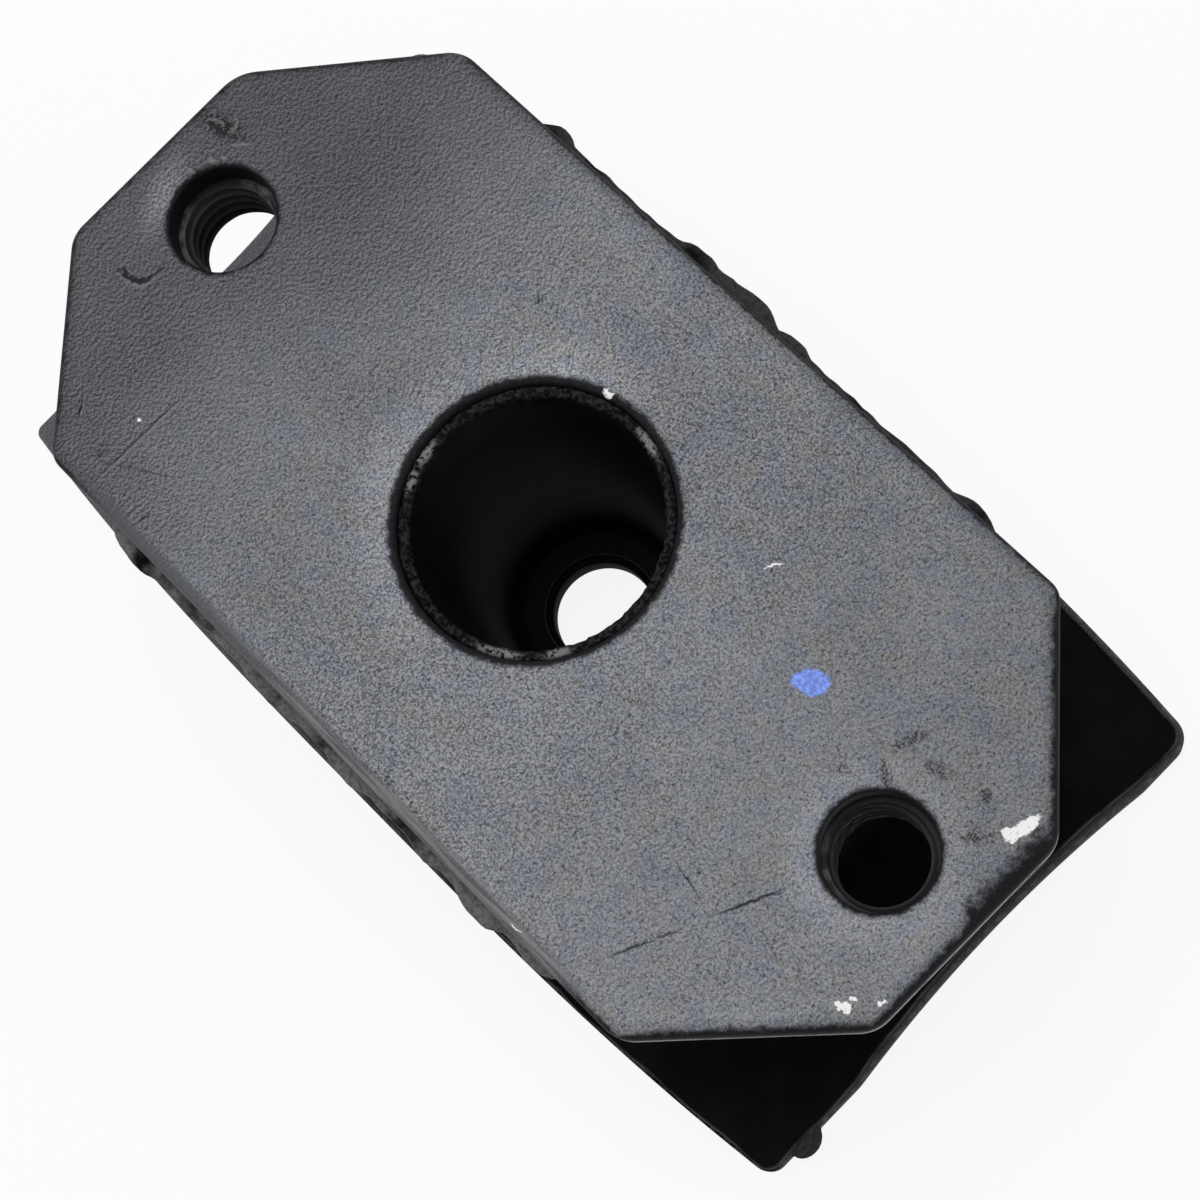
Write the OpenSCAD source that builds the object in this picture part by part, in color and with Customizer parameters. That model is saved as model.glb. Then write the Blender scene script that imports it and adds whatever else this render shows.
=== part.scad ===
// Transmission mount: tapped octagonal top plate, hollow rubber block, wider lower plate.
// Z is up. The origin is the centre of the lower bolt hole on the underside of the mount.
// X runs along the length towards the near end, Y across it.

/* [Overall] */
// height from the underside to the top face
height = 43.6; // [36:0.1:60]
// thickness of the top plate
top_t = 3.2; // [2.5:0.1:5]
// thickness of the lower plate
lower_t = 3; // [2.5:0.1:5]

/* [Top plate] */
// length of the top plate
top_len = 116.4; // [100:0.2:140]
// width of the top plate
top_wid = 59.6; // [50:0.2:80]
// length of each cut corner along X
cut_x = 16.5; // [10:0.1:25]
// length of each cut corner along Y
cut_y = 17.7; // [10:0.1:22]
// plan radius of the eight corners
top_corner_r = 4; // [2:0.5:8]
// rounding of the upper outer edge
top_edge_r = 1.2; // [0.5:0.1:2]
// diameter of the large centre hole
centre_d = 28.2; // [20:0.2:36]
// rounding at the mouth of the centre hole
centre_lip_r = 0.6; // [0.2:0.1:1]
// distance from each bolt hole to its end of the plate
bolt_end = 11.25; // [9:0.05:20]
// diameter of the plate hole over each nut
bolt_clear_d = 11.4; // [11:0.1:13]
// rounding at the mouth of each bolt hole
bolt_lip_r = 0.45; // [0.2:0.05:0.8]

/* [Weld nuts] */
// diameter of the threaded hole at the thread crests
thread_d = 9.36; // [8:0.02:11]
// height of each nut under the top plate
nut_h = 7.8; // [5:0.1:10]
// depth of the bevel at the mouth of each thread
lead_in = 0.5; // [0.2:0.1:1]
// distance across the flats of each nut
nut_af = 17.5; // [16:0.5:20]

/* [Lower plate] */
// length of the lower plate
lower_len = 123.1; // [105:0.1:150]
// how far the lower plate stands out past each long edge of the top plate
lower_over = 5.6; // [3:0.1:15]
// offset of the lower plate along X
lower_dx = -4.55; // [-10:0.05:10]
// offset of the lower plate along Y
lower_dy = 1.3; // [-4:0.1:4]
// how far the long sides draw in from their middle to their ends
side_bow = 2.8; // [0.5:0.1:5]
// depth of the shallow relief in the near end
near_relief = 1.4; // [0.3:0.05:3]
// depth of the shallow relief in the far end
far_relief = 2.6; // [0.3:0.05:4]
// width of each end relief
relief_wid = 44; // [30:1:54]
// how far each end relief stands off centre, to +Y at the near end and to -Y at the far end
relief_shift = 3; // [0:0.5:4]
// plan radius of the lower plate's corners
lower_corner_r = 3; // [1.5:0.1:5]
// rounding of the lower plate's upper edge
lower_edge_r = 0.6; // [0.2:0.1:1]
// diameter of the lower bolt hole
lower_hole_d = 11.6; // [10:0.1:14]

/* [Rubber] */
// thickness of the rubber skin on the lower plate
skin_t = 1; // [0.6:0.1:2]
// steel left bare round the skin
skin_margin = 0.8; // [0.3:0.1:3]
// steel left bare at the far end
far_margin = 6; // [3:0.5:12]
// gap between the block and each nut
nut_gap = 1.4; // [0.6:0.1:8]
// how far the block stands in from the long edges of the top plate
block_set_in = 0.8; // [0.4:0.1:5]
// plan radius of the block's corners
block_corner_r = 7; // [4:0.5:12]
// how deep the block's sides curve in
waist = 3.4; // [1:0.2:6]
// radius of the fillet round the foot of the block
foot_r = 2.6; // [1:0.2:5]
// how far the block's sides lean out at the foot
foot_spread = 0.4; // [0:0.1:2.5]
// mean reach of the flash past the long edges of the top plate
flash_out = 0.9; // [0.4:0.1:2]
// how much the ragged edge of the flash varies
flash_wave = 0.6; // [0:0.05:1]
// thickness of the flash
flash_t = 1.1; // [0.6:0.1:2]
// thickness of the rubber lining in the centre hole
lining_t = 1.5; // [1:0.1:4]
// step from the top face down to the lining
lining_step = 0.9; // [0.4:0.1:2]
// inner diameter of the well at its floor
well_floor_d = 19.4; // [16:0.2:24]
// radius between the well's wall and its floor
well_fillet = 1.6; // [0.8:0.1:3]
// rubber left on the well's floor
floor_t = 1.3; // [0.8:0.1:2.5]
// gap round the lower bolt hole in the rubber floor
floor_hole_gap = 0.6; // [0.2:0.1:2]

/* [Hidden] */
eps = 0.5;
flash_lap = 0.2;
foot_dip = 0.06;
corner_steps = 6;
edge_steps = 5;
bow_steps = 14;
relief_steps = 10;
level_steps = 8;
fillet_steps = 4;
flash_steps = 12;
round_fn = 96;
top_under = height - top_t;
half_len = top_len / 2;
bolt_spacing = top_len - 2 * bolt_end;
half_wid = top_wid / 2;
near_x = lower_dx + lower_len / 2;
far_x = lower_dx - lower_len / 2;
lower_half_wid = half_wid + lower_over;
block_half_len = bolt_spacing / 2 - nut_af / 2 - nut_gap;
block_half_wid = half_wid - block_set_in;
lining_d = centre_d - 2 * lining_t;
floor_hole_d = lower_hole_d + 2 * floor_hole_gap;
skin_top = lower_t + skin_t;
block_top = top_under - flash_t;
steel_colour = [0.16, 0.165, 0.175];
nut_colour = [0.2, 0.2, 0.21];
rubber_colour = [0.05, 0.05, 0.052];

function unit(v) = v / norm(v);

// centre of the arc that rounds corner i of the outline v with radius r
function arc_centre(v, i, r) =
    let (n = len(v), p = v[i], a = unit(v[(i + n - 1) % n] - p), b = unit(v[(i + 1) % n] - p))
    p + unit(a + b) * r / sin(acos(a * b) / 2);

// direction of the outward normal of the edge that starts at corner i
function edge_dir(v, i) =
    let (n = len(v), e = v[(i + 1) % n] - v[i])
    atan2(-e[0], e[1]);

function turn(a, b) = (b - a + 720) % 360;

// outline v with rounded corners, moved inwards by d
function rounded(v, r, d) =
    let (n = len(v))
    [for (i = [0 : n - 1])
        let (c = arc_centre(v, i, r), a0 = edge_dir(v, (i + n - 1) % n), sweep = turn(a0, edge_dir(v, i)))
        for (k = [0 : corner_steps])
            let (a = a0 + sweep * k / corner_steps)
            c + (r - d) * [cos(a), sin(a)]];

// corners of the top plate, anticlockwise
octagon = [
    [half_len, cut_y - half_wid], [half_len, half_wid - cut_y],
    [half_len - cut_x, half_wid], [cut_x - half_len, half_wid],
    [-half_len, half_wid - cut_y], [-half_len, cut_y - half_wid],
    [cut_x - half_len, -half_wid], [half_len - cut_x, -half_wid]
];

// half width of the lower plate at x
function bow_y(x) = lower_half_wid - side_bow * pow(abs(x - lower_dx) / (lower_len / 2), 3);
function bow_slope(x) = 3 * side_bow * pow(x - lower_dx, 2) / pow(lower_len / 2, 3);

// end edge of the lower plate at height y, cut in by depth
function relief_in(y, depth) =
    abs(y) < relief_wid / 2 ? depth * (1 - pow(2 * y / relief_wid, 2)) : 0;

// one quarter of the corner arc at the near or far end, on the +Y side
function corner_arc(sx, d) =
    let (xe = lower_dx + sx * lower_len / 2, cx = xe - sx * lower_corner_r,
         tilt = atan(bow_slope(cx)), cy = bow_y(cx) - lower_corner_r)
    [for (k = [0 : corner_steps])
        let (a = (90 - tilt) * k / corner_steps)
        [cx + sx * (lower_corner_r - d) * cos(a), cy + (lower_corner_r - d) * sin(a)]];

function reversed(v) = [for (i = [len(v) - 1 : -1 : 0]) v[i]];
function mirrored(v) = reversed([for (p = v) [p[0], -p[1]]]);
function moved(v, dy) = [for (p = v) [p[0], p[1] + dy]];

// outline of the lower plate, moved inwards by d
function lower_ring(d) =
    let (near = corner_arc(1, d), far = reversed(corner_arc(-1, d)),
         x1 = near_x - lower_corner_r, x0 = far_x + lower_corner_r,
         side = [for (i = [1 : bow_steps - 1])
             let (x = x1 + (x0 - x1) * i / bow_steps) [x, bow_y(x) - d]],
         upper = concat(near, side, far),
         far_end = [for (i = [1 : relief_steps - 1])
             let (y = relief_wid / 2 - relief_wid * i / relief_steps)
             [far_x + d + relief_in(y, far_relief), y - relief_shift]],
         near_end = [for (i = [1 : relief_steps - 1])
             let (y = -relief_wid / 2 + relief_wid * i / relief_steps)
             [near_x - d - relief_in(y, near_relief), y + relief_shift]])
    moved(concat(upper, far_end, mirrored(upper), near_end), lower_dy);

// solid through a stack of outlines, each given with its height
module loft(rings, zs) {
    n = len(rings[0]);
    m = len(rings);
    points = [for (j = [0 : m - 1]) for (p = rings[j]) [p[0], p[1], zs[j]]];
    walls = [for (j = [0 : m - 2]) for (i = [0 : n - 1])
        for (t = [[[j, i], [j + 1, i], [j + 1, i + 1]], [[j, i], [j + 1, i + 1], [j, i + 1]]])
            [for (q = t) q[0] * n + (q[1] % n)]];
    floor_face = [for (i = [0 : n - 1]) i];
    roof_face = [for (i = [n - 1 : -1 : 0]) (m - 1) * n + i];
    polyhedron(points = points, faces = concat(walls, [floor_face], [roof_face]), convexity = 6);
}

// cutter for a hole whose mouth at z is rounded by r
module round_mouth(d, r, z) {
    rotate_extrude($fn = round_fn)
        polygon(concat(
            [[0, z - r - 0.01], [d / 2, z - r - 0.01]],
            [for (k = [0 : edge_steps])
                let (a = 90 * k / edge_steps)
                [d / 2 + r * (1 - cos(a)), z - r + r * sin(a)]],
            [[d / 2 + r, z + eps], [0, z + eps]]));
}

module top_plate() {
    edge = [for (k = [0 : edge_steps]) 90 * k / edge_steps];
    insets = concat([0.3, 0], [for (a = edge) top_edge_r * (1 - cos(a))]);
    zs = concat([top_under, top_under + 0.3],
        [for (a = edge) height - top_edge_r + top_edge_r * sin(a)]);
    color(steel_colour)
    difference() {
        loft([for (d = insets) rounded(octagon, top_corner_r, d)], zs);
        translate([0, 0, top_under - eps])
            cylinder(h = top_t + 2 * eps, d = centre_d, $fn = round_fn);
        round_mouth(centre_d, centre_lip_r, height);
        for (s = [-1, 1])
            translate([s * bolt_spacing / 2, 0, 0]) {
                translate([0, 0, top_under - eps])
                    cylinder(h = top_t + 2 * eps, d = bolt_clear_d, $fn = round_fn);
                round_mouth(bolt_clear_d, bolt_lip_r, height);
            }
    }
}

// hexagonal weld nut hung under the top plate
module weld_nut() {
    z0 = top_under - nut_h;
    difference() {
        intersection() {
            translate([0, 0, z0])
                rotate([0, 0, 30])
                cylinder(h = nut_h, d = nut_af / cos(30), $fn = 6);
            translate([0, 0, z0])
                cylinder(h = nut_h, d1 = nut_af, d2 = nut_af + 2 * nut_h * 1.7, $fn = round_fn);
        }
        translate([0, 0, z0 - eps])
            cylinder(h = nut_h + 2 * eps, d = thread_d, $fn = round_fn);
        translate([0, 0, top_under - lead_in])
            cylinder(h = lead_in + 0.01, d1 = thread_d, d2 = thread_d + 2 * lead_in, $fn = round_fn);
    }
}

module far_nut() {
    color(nut_colour)
    translate([-bolt_spacing / 2, 0, 0])
        weld_nut();
}

module near_nut() {
    color(nut_colour)
    translate([bolt_spacing / 2, 0, 0])
        weld_nut();
}

module lower_plate() {
    edge = [for (k = [0 : edge_steps]) 90 * k / edge_steps];
    insets = concat([0.3, 0], [for (a = edge) lower_edge_r * (1 - cos(a))]);
    zs = concat([0, 0.3], [for (a = edge) lower_t - lower_edge_r + lower_edge_r * sin(a)]);
    color(steel_colour)
    difference() {
        loft([for (d = insets) lower_ring(d)], zs);
        translate([0, 0, -eps])
            cylinder(h = lower_t + 2 * eps, d = lower_hole_d, $fn = round_fn);
    }
}

// how far the block's sides stand in at height t, from 0 at its foot to 1 under the plate
function side_in(t) = waist * sin(180 * t) - foot_spread * (1 - t);

// how far the foot fillet stands out at height h over the skin
function fillet_out(h) = h < foot_r ? foot_r - sqrt(foot_r * foot_r - pow(foot_r - h, 2)) : 0;

// outline of the block at height z
function block_ring(z) =
    let (h = max(z - skin_top, 0), t = h / (block_top - skin_top), out = fillet_out(h),
         x = block_half_len - side_in(t) + out, y = block_half_wid - side_in(t) + out)
    rounded([[x, -y], [x, y], [-x, y], [-x, -y]], block_corner_r + out, 0);

// heights of the outlines, closer together in the foot fillet
fillet_zs = [for (k = [1 : fillet_steps - 1]) skin_top + foot_r * (1 - cos(90 * k / fillet_steps))];
level_zs = [for (k = [0 : level_steps])
    skin_top + foot_r + (block_top - skin_top - foot_r) * k / level_steps];
block_zs = concat([skin_top - foot_dip], fillet_zs, level_zs);

module rubber_block() {
    loft([for (z = block_zs) block_ring(z)], block_zs);
    // flash squeezed out under the long edges of the top plate
    translate([0, 0, block_top - flash_lap])
        linear_extrude(height = flash_t + flash_lap)
        polygon(concat(flash_side(1), flash_side(-1)));
}

// reach of the flash past the plate at share u of the block's length, wavy from two sines
function flash_reach(u, s) =
    flash_out * (1 + flash_wave * (0.6 * sin(1130 * u + 70 * s) + 0.4 * sin(1850 * u - 110 * s)));

// edge of the flash on the side s, from one end of the block to the other
function flash_side(s) =
    [for (k = [0 : flash_steps])
        let (u = k / flash_steps, grow = min(1, 9 * u, 9 * (1 - u)), root = block_half_wid - 1)
        [s * (block_half_len - 2) * (1 - 2 * u),
         s * (root + (half_wid - root + flash_reach(u, s)) * grow)]];

module rubber_skin() {
    intersection() {
        loft([lower_ring(skin_margin), lower_ring(skin_margin), lower_ring(skin_margin + 0.3)],
            [lower_t, lower_t + skin_t - 0.3, lower_t + skin_t]);
        translate([far_x + far_margin, -2 * lower_half_wid, 0])
            cube([lower_len, 4 * lower_half_wid, height]);
    }
}

// hollow of the block, from the floor of the well to the lining's mouth
module well() {
    zf = lower_t + floor_t;
    zt = height - lining_step;
    rotate_extrude($fn = round_fn)
        polygon(concat(
            [[0, zf]],
            [for (k = [0 : edge_steps])
                let (a = 90 * k / edge_steps)
                [well_floor_d / 2 - well_fillet + well_fillet * sin(a), zf + well_fillet * (1 - cos(a))]],
            [[lining_d / 2 - 0.2, top_under - 2], [lining_d / 2, zt - 0.5],
             [lining_d / 2 + 0.4, zt + 0.01], [lining_d / 2 + 0.4, height + eps], [0, height + eps]]));
}

module rubber_body() {
    color(rubber_colour)
    difference() {
        union() {
            rubber_skin();
            rubber_block();
            translate([0, 0, top_under - 1])
                cylinder(h = top_t - lining_step + 1, d = centre_d, $fn = round_fn);
        }
        well();
        translate([0, 0, lower_t - eps])
            cylinder(h = floor_t + 2 * eps, d = floor_hole_d, $fn = round_fn);
    }
}

top_plate();
far_nut();
near_nut();
rubber_body();
lower_plate();
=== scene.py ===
"""Rubber transmission mount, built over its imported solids. Shapes are worked out in millimetres."""
from math import pi, radians

import bmesh
import bpy
import numpy as np
from bpy.props import FloatProperty, FloatVectorProperty, PointerProperty
from mathutils import Matrix, Vector
from mathutils.geometry import delaunay_2d_cdt


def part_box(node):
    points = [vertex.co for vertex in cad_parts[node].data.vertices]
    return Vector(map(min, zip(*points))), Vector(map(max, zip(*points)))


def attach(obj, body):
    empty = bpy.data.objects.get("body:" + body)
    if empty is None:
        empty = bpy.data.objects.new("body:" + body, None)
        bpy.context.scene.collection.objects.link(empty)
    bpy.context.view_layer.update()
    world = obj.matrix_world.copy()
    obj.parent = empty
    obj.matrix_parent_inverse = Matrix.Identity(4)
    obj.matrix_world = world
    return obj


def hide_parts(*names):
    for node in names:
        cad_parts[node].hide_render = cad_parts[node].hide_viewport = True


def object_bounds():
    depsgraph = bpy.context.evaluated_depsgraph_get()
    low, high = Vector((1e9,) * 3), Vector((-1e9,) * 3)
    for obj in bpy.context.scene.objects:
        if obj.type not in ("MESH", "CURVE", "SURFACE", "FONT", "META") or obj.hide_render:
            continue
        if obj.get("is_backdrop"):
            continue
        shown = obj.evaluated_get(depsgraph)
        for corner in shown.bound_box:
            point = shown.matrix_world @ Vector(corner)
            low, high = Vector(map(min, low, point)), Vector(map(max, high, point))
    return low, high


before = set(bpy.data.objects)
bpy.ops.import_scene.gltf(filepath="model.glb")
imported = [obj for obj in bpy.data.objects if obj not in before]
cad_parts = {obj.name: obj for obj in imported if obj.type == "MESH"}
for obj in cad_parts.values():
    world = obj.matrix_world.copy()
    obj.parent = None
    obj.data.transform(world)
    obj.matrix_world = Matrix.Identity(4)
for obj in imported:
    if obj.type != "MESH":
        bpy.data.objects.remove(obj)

bl_info = {
    "name": "Transmission Mount",
    "version": (1, 0, 0),
    "blender": (4, 5, 0),
    "location": "View3D > Sidebar > Mount",
    "description": "Builds the plates, nuts and rubber of a transmission mount over its solids",
    "category": "Object",
}

CAD_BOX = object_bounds()
# Metres in a millimetre, and the distance in metres under which points are welded.
MM, WELD = 0.001, 2e-6


def middle_and_half(node, axis):
    """Middle and half size of a solid's box along one axis, in millimetres."""
    low, high = (corner[axis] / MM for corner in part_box(node))
    return (low + high) / 2, (high - low) / 2


# Sizes of the solids, in millimetres, with the origin at the lower bolt hole.
PLATE_LOW, PLATE_TOP = (corner[2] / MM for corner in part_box("top_plate"))
HALF_LEN, HALF_WID = (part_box("top_plate")[1][axis] / MM for axis in (0, 1))
LOWER_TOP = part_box("lower_plate")[1][2] / MM
FAR_X, NEAR_X = (corner[0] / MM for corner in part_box("lower_plate"))
LOWER_X, LOWER_HALF_LEN = middle_and_half("lower_plate", 0)
LOWER_DY, LOWER_HALF_WID = middle_and_half("lower_plate", 1)
NUT_X, NUT_FLAT = middle_and_half("near_nut", 0)
NUT_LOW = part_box("near_nut")[0][2] / MM

# Top plate: cut corners, their rounding in turn from the near -Y one, edges and holes.
CUT_X, CUT_Y = 16.5, 17.7
CORNER_R, EDGE_R, UNDER_R = np.array([4.0, 4.0, 2.4, 4.0, 5.5, 4.0, 2.6, 4.0]), 1.2, 0.3
CENTRE_R, CENTRE_LIP = 14.1, 0.6
BOLT_R, BOLT_LIP = 5.7, 0.45
# Nuts: radii of corners and bottom face as shares of the half width, then seat, bevel and thread.
NUT_CORNER, NUT_FACE = 1.142, 0.985
NUT_SEAT, NUT_SHOULDER, BEVEL_RUN = 0.01, 0.25, 1.7
THREAD_START, MOUTH_R, LEAD_IN = 0.722, 5.3, 0.5
# Lower plate: bowed sides, end reliefs, corners, edge and hole, and its turn in degrees.
SIDE_BOW, NEAR_RELIEF, FAR_RELIEF, RELIEF_WID, RELIEF_SHIFT = 2.8, 1.4, 2.6, 44.0, 3.0
LOWER_CORNER_R, FAR_CORNER_R, NEAR_CORNER_R = 2.7, 1.2, 2.0
LOWER_EDGE_R, LOWER_HOLE_R, LOWER_HOLE_LIP, LOWER_TURN = 0.6, 5.7, 0.3, 0.4
# Rubber: skin, block, flash, lining, well and floor.
SKIN_T, SKIN_MARGIN, NEAR_MARGIN, FAR_MARGIN, SKIN_CHAMFER = 1.0, 0.8, 0.3, 6.0, 0.9
BLOCK_GAP, BLOCK_SET_IN, BLOCK_CORNER_R = 1.4, 0.8, 7.0
WAIST, FOOT_R, FOOT_LEAN = 3.4, 2.6, 0.4
FLASH_T, FLASH_LEAST = 1.1, 0.12
LINING_R, LINING_STEP = 12.9, 0.9
WELL_R, WELL_DEPTH, WELL_FLOOR_R, WELL_FILLET = LINING_R - 0.2, 2.0, 9.7, 1.6
FLOOR_T, FLOOR_HOLE_R = 1.3, 6.4
BLOCK_LOW, BLOCK_TOP = LOWER_TOP + SKIN_T, PLATE_LOW - FLASH_T
BLOCK_HALF_LEN, BLOCK_HALF_WID = NUT_X - NUT_FLAT - BLOCK_GAP, HALF_WID - BLOCK_SET_IN
# Lumps of the flash by side: middle along X, half width and reach. The first is the thin base.
FLASH_LUMPS = {
    1: [(-1.0, 34.0, 0.83), (-28.4, 2.2, 1.5), (-3.2, 8.0, 1.6), (-8.3, 2.9, 1.88), (-1.0, 4.4, 1.95),
        (5.0, 2.8, 1.4), (30.4, 3.8, 1.3)],
    -1: [(-4.5, 35.0, 1.0), (-28.0, 6.6, 1.5), (-20.0, 4.0, 1.32), (-8.0, 6.0, 1.5), (3.6, 4.6, 1.45),
         (14.5, 3.6, 1.3), (22.6, 3.6, 1.85), (30.4, 3.4, 1.15)],
}
# Tag of rubber at the near -Y corner: its middle and its radii.
TAG, TAG_SIZE = (56.5, -25.6, 2.2), [1.8, 2.2, 1.1]

# Marks on the top plate are ellipses: x, y and radii in millimetres, turn in degrees, softness of the rim.
# painted highlights: a glint beside the far hole and a broad sheen towards +Y
GLOW = (-53.6, -2.5, 3.4, 1.4, 116, 0.95)
SHEEN = (-19, 16, 9, 13, 0, 0.95)
STAINS = [(38.6, 2.9, 0.9, 0.5, 40, 0.5), (42.2, 5.8, 1.6, 0.45, -35, 0.5), (41.7, 9.6, 1.9, 0.5, 70, 0.6),
          (45.5, 9.3, 1.3, 0.8, 30, 0.6), (50.2, 10.7, 1.0, 0.5, -20, 0.4), (52.4, 7.3, 1.6, 0.6, 50, 0.6),
          (-16.0, 16.2, 0.7, 0.5, 0, 0.6), (8.2, -27.9, 0.8, 0.5, 20, 0.5), (36.0, -13.0, 0.5, 0.3, 0, 0.6),
          (-37.9, -25.6, 0.9, 0.5, 60, 0.6)]
CHIPS = [(55.0, 11.1, 1.6, 0.6, 78, 0.12), (54.5, 9.5, 0.75, 0.7, 20, 0.12),
         (54.6, -12.6, 0.75, 0.5, 30, 0.12), (54.8, -11.4, 0.3, 0.25, 0, 0.15),
         (56.85, -9.8, 0.35, 0.24, 40, 0.15), (20.5, 12.8, 0.95, 0.14, 55, 0.3),
         (-3.8, 14.0, 0.62, 0.28, 14, 0.2), (-37.3, -20.5, 0.17, 0.17, 0, 0.3),
         (27.6, -29.1, 0.7, 0.1, 5, 0.3)]
DAB = (31.1, 7.1, 1.75, 1.25, 38, 0.1)
# the scar, and a painted highlight on its lip; the lumps, raised in the bump and given painted highlights
SCAR, SCAR_GLINT = (-54.3, 7.0, 2.9, 1.3, 12, 0.5), (-51.6, 6.8, 1.1, 0.2, 45, 0.5)
LUMPS = [(-53.4, 1.3, 0.6, 0.45, 30, 0.7), (-52.6, 3.6, 0.5, 0.4, 0, 0.7), (-51.7, 4.6, 0.5, 0.4, 0, 0.7)]
SWELLINGS = [(-39.5, 11.8, 1.0, 0.8, 0, 0.6), (-45.3, 10.1, 1.0, 0.7, 0, 0.6), (-35.0, 8.2, 0.8, 0.5, 0, 0.6)]
# Scratches are given alike: a broken one, then wavering and straight ones with their strength added.
BROKEN = (37.3, -21.3, 3.7, 0.14, 64.7, 0.5)
WAVERING = [(41.6, -11.8, 3.4, 0.15, 65.3, 0.5, 1.0), (35.9, -14.4, 2.1, 0.1, -10.9, 0.6, 0.8),
            (-42.95, -24.05, 0.85, 0.12, -61, 0.6, 1.0), (-29.4, -27.2, 0.8, 0.12, 81, 0.6, 1.0)]
STRAIGHT = [(-36.05, -22.0, 6.0, 0.12, 89, 0.5, 0.7), (-33.4, -24.1, 3.2, 0.12, 30, 0.6, 0.5)]
PALE_STRAIGHT, PALE_WAVERING = (-35.8, -22.0, 6.1, 0.1, 89, 0.5), (-42.7, -24.0, 0.8, 0.07, -61, 0.5)
# Bows: x, y and radius in millimetres, angle in degrees that they face, thickness as a share of the radius.
# the blister's raised rim: painted shade on one side and a painted highlight beside it; painted highlights on
# the scar's rims
BLISTER_SHADED_SIDE, BLISTER_LIGHT = (-50.05, -8.87, 2.26, -48, 0.16), (-49.8, -9.2, 2.3, -48, 0.12)
SCAR_GLINT_BOWS = [(-55.2, 6.2, 0.9, 120, 0.2), (-54.1, 7.6, 0.8, 40, 0.22)]
# Scuffs on the lining's rim with painted highlights: the angle in degrees and half the length in millimetres.
SCUFF_GLINTS = [(192, 1.5), (79, 1.9), (300, 2.2), (325, 1.4), (205, 1.2)]

# Stage: floor, light around, and lamps by name, place, aim, size and power, with lengths in metres.
FLOOR_HALF, FLOOR_DROP, FLOOR_GLOW, WORLD_LIGHT = 6.0, 0.0002, 0.88, 0.42
LAMPS = [("key", (-0.14, 0.03, 0.66), (0.01, 0, 0.04), 0.42, 2.4),
         ("fill left", (-0.45, -0.5, 0.35), (0, 0, 0.02), 0.4, 0.9),
         ("fill right", (0.55, 0.3, 0.25), (0, 0, 0.02), 0.4, 0.9)]
# Camera: sensor and lens in millimetres, and its place and turn.
SENSOR, LENS = 36.0, 78.81
CAMERA = Matrix(((0.69068, -0.66767, 0.27781, 0.08127), (0.70367, 0.70909, -0.04526, -0.012723),
                 (-0.16677, 0.22675, 0.95957, 0.287785), (0, 0, 0, 1)))


# Shapes

def unit(v):
    """Each row of v divided by its length."""
    return v / np.linalg.norm(v, axis=-1, keepdims=True)


def spokes(n):
    """n even angles of a turn, and the directions at them."""
    a = np.arange(n) * 2 * pi / n
    return a, np.stack([np.cos(a), np.sin(a)], -1)


def circle(r, n=128):
    """Points of a circle of radius r about the origin."""
    return r * spokes(n)[1]


def rounded(corners, radius, inset, arc=8, edge=24):
    """Outline of a convex polygon with rounded corners, moved inwards.

    Each arc's centre lies on its corner's bisector, at radius over the sine of half the corner's
    angle. The outward direction turns evenly over the arc, and straight sides join the arcs. The
    radius is one for all corners or one each, and never under 0.3.
    Returns the points and their outward directions, n x 2 each.
    """
    p = np.asarray(corners, float)
    a, b = unit(np.roll(p, 1, 0) - p), unit(np.roll(p, -1, 0) - p)
    half = np.arccos(np.sum(a * b, 1)) / 2
    keep = np.maximum(np.broadcast_to(radius, half.shape) - inset, 0.3)
    centre = p + unit(a + b) * ((keep + inset) / np.sin(half))[:, None]
    start = np.arctan2(a[:, 0], -a[:, 1])
    sweep = pi - 2 * half
    angle = start[:, None] + sweep[:, None] * np.linspace(0, 1, arc + 1)
    out = np.stack([np.cos(angle), np.sin(angle)], -1)
    arcs = centre[:, None] + keep[:, None, None] * out
    share = (np.arange(edge) + 1)[None, :, None] / (edge + 1)
    straight = arcs[:, -1:] * (1 - share) + np.roll(arcs, -1, 0)[:, :1] * share
    sides = np.broadcast_to(out[:, -1:], straight.shape)
    return np.concatenate([arcs, straight], 1).reshape(-1, 2), np.concatenate([out, sides], 1).reshape(-1, 2)


def outward(ring):
    """Outward directions of a closed anticlockwise outline: the chord over each point, turned a quarter."""
    chord = unit(np.roll(ring, -1, 0) - np.roll(ring, 1, 0))
    return np.stack([chord[:, 1], -chord[:, 0]], -1)


def octagon():
    """Corners of the top plate, anticlockwise."""
    x, y, u, v = HALF_LEN, HALF_WID, HALF_LEN - CUT_X, HALF_WID - CUT_Y
    return [(x, -v), (x, v), (u, y), (-u, y), (-x, v), (-x, -v), (-u, -y), (u, -y)]


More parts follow.
